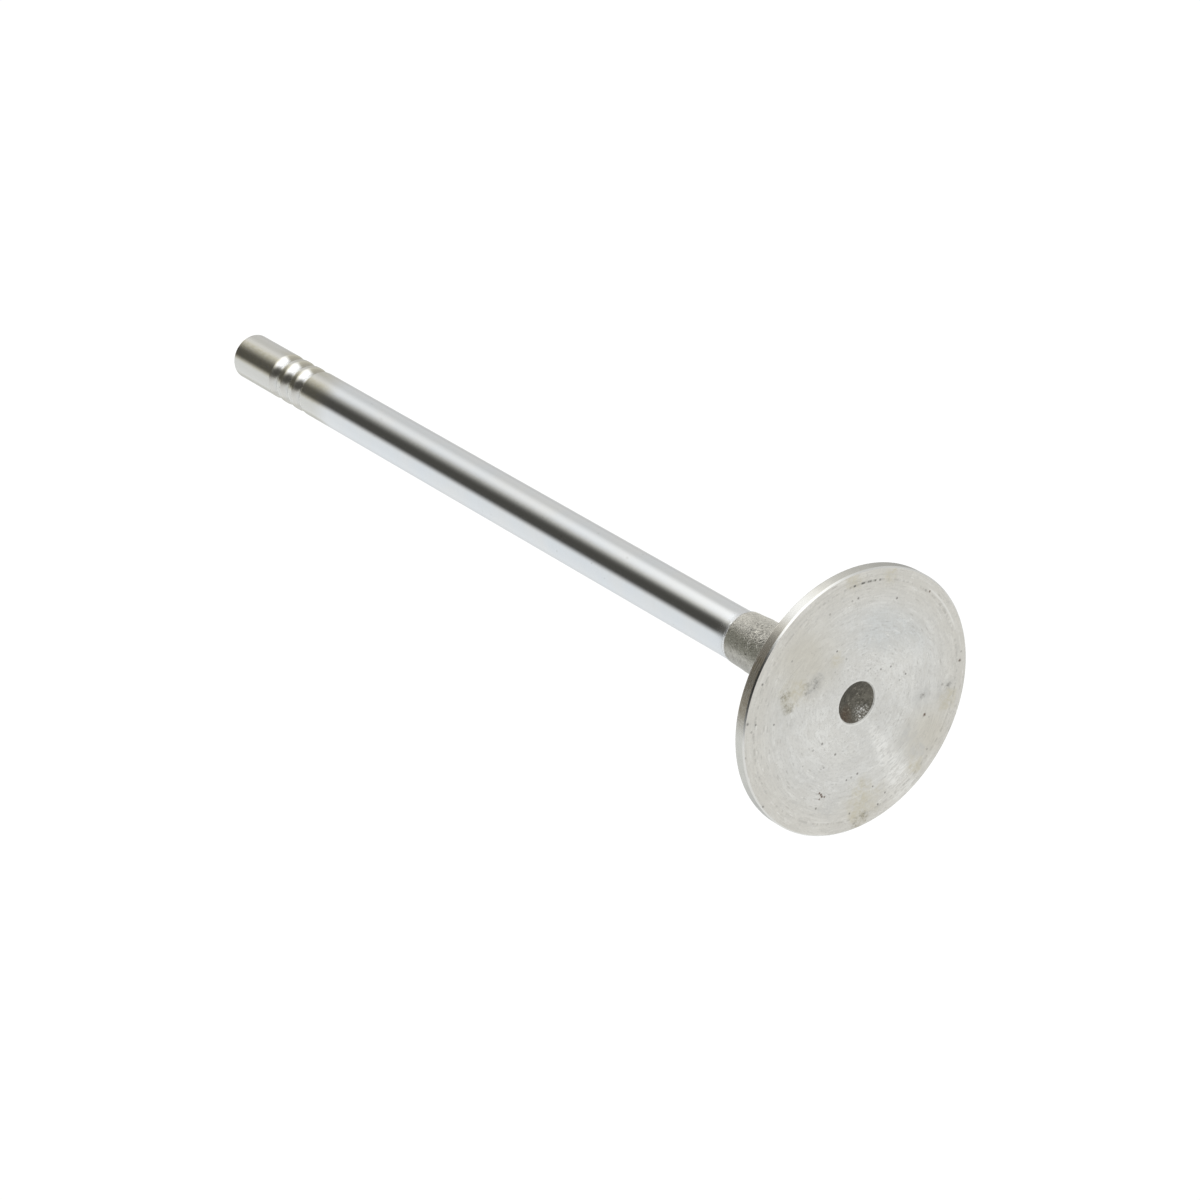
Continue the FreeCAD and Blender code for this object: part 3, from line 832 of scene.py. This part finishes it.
def bowl_skin(finish):
    """Bowl in the face: left dark and rough, with small bright grains, and uncovered metal near
    the rim on one side, lightened where it glints: partly a painted glint.
    """
    skin = Skin("bowl_skin")
    grain = skin.noise(skin.tilted, 2.2, 4.0, 0.65)
    fine = skin.noise(skin.tilted, 3.6, 3.0, 0.6)
    tone = skin.noise(skin.tilted, 0.8, 3.0, 0.6)
    base = finish.bowl_colour
    skin.colour = skin.blend(skin.line(tone, 0.35, 0.65), darker(base, 0.75), darker(base, 1.2))
    skin.coat(skin.spot((0.4, -2.9, 2.4), 0.4), tinted(base, 0.95, 0.8, 0.72))
    skin.coat(skin.line(fine, 0.44, 0.34, 0.0, 0.7), darker(base, 0.45))
    # Uncovered metal grains, placed and lightened where the glints show: partly a painted glint.
    bare_glints = skin.times(skin.spot((-3.2, -1.2, 2.4), 0.4), skin.line(fine, 0.52, 0.6, 0.04, 1.0))
    skin.coat(skin.line(grain, 0.57, 0.7), darker(base, 2.3))
    skin.coat(bare_glints, darker(finish.face_colour, 0.9))
    roughness = skin.line(grain, 0.35, 0.7, 0.5, 0.3)
    return skin.finish(roughness, grain, 0.2 * MM)


def ground_tip(finish):
    """Tip of the stem: ground flat, with fine rings."""
    skin = Skin("ground_tip")
    rings = skin.noise(skin.polar(6.0, 6.0, 0.0), 1.0, 3.0, 0.6)
    base = darker(finish.plating_colour, 0.92)
    skin.colour = skin.blend(skin.line(rings, 0.4, 0.7, 0.0, 0.35), base, darker(base, 0.78))
    return skin.finish(skin.line(rings, 0.3, 0.7, 0.26, 0.38), rings, 0.008 * MM,
                       anisotropic=0.4)


def valve_materials(finish):
    """One material for each zone, in the order of ZONES."""
    made = {
        "bowl": bowl_skin(finish),
        "turned_face": turned_face(finish),
        "face_edge": polished_edge(finish),
        "margin": turned_rim("margin_steel", finish, 1.0),
        "seat": turned_rim("seat_steel", finish, 1.05),
        "forged": forged_skin(finish),
        "plated": plated_stem(finish),
        "tip": ground_tip(finish),
    }
    return [made[zone] for zone in ZONES]


def set_camera(stage):
    """Camera at the photograph's viewing angle: it looks from its place to its aim, rolled about
    that line from the upright position."""
    place, aim = Vector(stage.camera_place), Vector(stage.camera_aim)
    forward = (aim - place).normalized()
    level = forward.cross(Vector((0, 0, 1))).normalized()
    upright = level.cross(forward)
    roll = stage.camera_roll
    right = level * math.cos(roll) + upright * math.sin(roll)
    up = upright * math.cos(roll) - level * math.sin(roll)
    turn = Matrix((right, up, -forward)).transposed().to_4x4()
    data = bpy.data.cameras.new("camera")
    data.sensor_width = 36
    data.lens = stage.lens
    data.clip_start = 0.01
    data.clip_end = 20
    camera = bpy.data.objects.new("camera", data)
    camera.matrix_world = Matrix.Translation(place) @ turn
    bpy.context.scene.collection.objects.link(camera)
    bpy.context.scene.camera = camera


def light_room(stage):
    """World: a white room, which the camera sees as plain white. What lights the metal has a dark
    flag that rises in front of the valve and runs on overhead, two soft boxes beside it, one low
    and one overhead, and a slightly greyer side."""
    world = bpy.data.worlds.new("studio")
    bpy.context.scene.world = world
    world.use_nodes = True
    wiring = Wiring(world.node_tree)
    direction = wiring.node("ShaderNodeTexCoord").outputs["Generated"]
    x, y, z = wiring.split(wiring.vector("NORMALIZE", direction))
    azimuth = wiring.math("DEGREES", wiring.math("ARCTAN2", y, x))
    elevation = wiring.math("DEGREES", wiring.math("ARCSINE", z))

    overhead = wiring.times(wiring.math("GREATER_THAN", elevation, 57.0),
                            wiring.math("LESS_THAN", x, 0.0))
    turn = wiring.times(wiring.math("SIGN", azimuth), -180.0)
    turned = wiring.raised(azimuth, overhead, turn)

    below = wiring.ease(elevation, -28.0, -38.0)
    middle = wiring.raised(math.degrees(stage.flag_azimuth), below, -15.0)
    beside = wiring.math("SUBTRACT", turned, middle)
    soft_side = wiring.math("POWER", wiring.ease(beside, -4.0, 65.0), 1.75)
    clear = wiring.math("MAXIMUM", wiring.ease(beside, -18.0, -46.0), soft_side)
    flag = wiring.times(wiring.ease(elevation, -76.0, -62.0), wiring.math("SUBTRACT", 1.0, clear),
                        1 - stage.flag_light)

    low = wiring.ease(elevation, 20.0, -20.0)
    near_edge = wiring.raised(6.0, low, -12.0)
    far_edge = wiring.raised(38.0, low, -14.0)
    box_wide = wiring.times(wiring.ease(turned, near_edge, far_edge),
                            wiring.ease(turned, 84.0, 58.0))
    box_tall = wiring.math("MAXIMUM", wiring.ease(elevation, 46.5, 41.5),
                           wiring.ease(elevation, 55.0, 62.0))
    box_tall = wiring.times(box_tall, wiring.ease(elevation, -86.0, -72.0))
    box = wiring.times(box_wide, box_tall)

    grey = wiring.times(wiring.ease(azimuth, 60.0, 95.0), wiring.ease(azimuth, 172.0, 140.0),
                        wiring.ease(elevation, 0.0, 25.0))
    far_wide = wiring.ease(wiring.math("ABSOLUTE", azimuth), 118.0, 150.0)
    far = wiring.times(far_wide, wiring.ease(elevation, 25.0, 52.0))
    room = wiring.raised(wiring.raised(1.0, grey, -0.22), far, -0.16)

    cool = wiring.times(wiring.ease(azimuth, -35.0, -60.0), wiring.ease(azimuth, -178.0, -150.0),
                        wiring.ease(elevation, 10.0, 30.0))
    tint = wiring.blend(cool, (1.0, 1.0, 0.99), (0.98, 1.005, 1.025))
    studio = wiring.blend(1.0, tint, wiring.join(room, room, room), "MULTIPLY")
    warm_grey = tuple(channel * stage.flag_light for channel in (1.06, 1.02, 0.92))
    studio = wiring.blend(flag, studio, warm_grey)
    studio = wiring.blend(box, studio, (stage.box_light,) * 3)

    rays = wiring.node("ShaderNodeLightPath")
    seen = wiring.blend(rays.outputs["Is Camera Ray"], studio, PAPER_WHITE)
    wiring.apply("ShaderNodeOutputWorld", wiring.apply("ShaderNodeBackground", seen)[0])


def add_lamp(stage):
    """Soft lamp above, which gives the floor its shadow and doesn't show in the metal."""
    data = bpy.data.lights.new("soft_lamp", "AREA")
    data.shape = "DISK"
    data.size = 0.5
    data.energy = stage.lamp_power
    lamp = bpy.data.objects.new("soft_lamp", data)
    lamp.location = (0.55, 0.55, 1.0)
    lamp.rotation_euler = (-lamp.location).to_track_quat("-Z", "Y").to_euler()
    lamp.visible_glossy = False
    lamp.visible_camera = False
    bpy.context.scene.collection.objects.link(lamp)


def add_floor(stage):
    """Pale floor just under the face. It goes over into white with the distance. Its lower side is
    clear, because the main camera looks up at the face from below."""
    reach = 3.0
    level = -0.02 * MM
    corners = [(-reach, -reach, level), (reach, -reach, level), (reach, reach, level),
               (-reach, reach, level)]
    mesh = bpy.data.meshes.new("floor")
    mesh.from_pydata(corners, [], [(0, 1, 2, 3)])
    floor = bpy.data.objects.new("floor", mesh)
    material = bpy.data.materials.new("pale_floor")
    material.use_nodes = True
    wiring = Wiring(material.node_tree)
    place = wiring.node("ShaderNodeTexCoord").outputs["Object"]
    distance = wiring.vector("LENGTH", place, out=1)
    pale = wiring.apply("ShaderNodeBsdfDiffuse", (0.9, 0.9, 0.9))[0]
    white = wiring.apply("ShaderNodeEmission", PAPER_WHITE)[0]
    faded = wiring.ease(distance, 0.25 * stage.floor_fade, stage.floor_fade)
    top = wiring.apply("ShaderNodeMixShader", faded, pale, white)[0]
    clear = wiring.apply("ShaderNodeBsdfTransparent")[0]
    below = wiring.node("ShaderNodeNewGeometry").outputs["Backfacing"]
    sides = wiring.apply("ShaderNodeMixShader", below, top, clear)[0]
    wiring.apply("ShaderNodeOutputMaterial", sides)
    mesh.materials.append(material)
    for rays in ("diffuse", "glossy", "transmission", "shadow"):
        setattr(floor, "visible_" + rays, False)
    bpy.context.scene.collection.objects.link(floor)


class VALVE_OT_build_stage(bpy.types.Operator):
    """Make the camera, the pale floor and the studio light"""

    bl_idname = "valve.build_stage"
    bl_label = "Build Stage"

    def execute(self, context):
        stage = context.scene.valve_stage
        context.scene.view_settings.view_transform = "Standard"
        set_camera(stage)
        light_room(stage)
        add_lamp(stage)
        add_floor(stage)
        return {"FINISHED"}


class VALVE_OT_build_valve(bpy.types.Operator):
    """Turn the valve from its half section, forge its skin and give each zone its metal"""

    bl_idname = "valve.build_valve"
    bl_label = "Build Valve"

    def execute(self, context):
        size = context.scene.valve_sizes
        finish = context.scene.valve_finish
        mesh = valve_mesh(size, finish)
        for material in valve_materials(finish):
            mesh.materials.append(material)
        valve = bpy.data.objects.new("valve_body", mesh)
        context.scene.collection.objects.link(valve)
        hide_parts("valve")
        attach(valve, "root")
        return {"FINISHED"}


class VALVE_PT_panel(bpy.types.Panel):
    """Lists the builders and the values that they use"""

    bl_idname = "VALVE_PT_panel"
    bl_label = "Engine Valve"
    bl_space_type = "VIEW_3D"
    bl_region_type = "UI"
    bl_category = "Valve"

    def draw(self, context):
        layout = self.layout
        for operator in (VALVE_OT_build_stage, VALVE_OT_build_valve):
            layout.operator(operator.bl_idname)
        for group in (context.scene.valve_sizes, context.scene.valve_finish,
                      context.scene.valve_stage):
            box = layout.box()
            for name in group.__annotations__:
                box.prop(group, name)


CLASSES = (ValveSizes, ValveFinish, StageSettings, VALVE_OT_build_stage, VALVE_OT_build_valve,
           VALVE_PT_panel)


def register():
    for made in CLASSES:
        bpy.utils.register_class(made)
    bpy.types.Scene.valve_sizes = PointerProperty(type=ValveSizes)
    bpy.types.Scene.valve_finish = PointerProperty(type=ValveFinish)
    bpy.types.Scene.valve_stage = PointerProperty(type=StageSettings)


def unregister():
    del bpy.types.Scene.valve_stage
    del bpy.types.Scene.valve_finish
    del bpy.types.Scene.valve_sizes
    for made in reversed(CLASSES):
        bpy.utils.unregister_class(made)


def main():
    register()
    bpy.ops.valve.build_stage()
    bpy.ops.valve.build_valve()


if __name__ == "__main__":
    main()
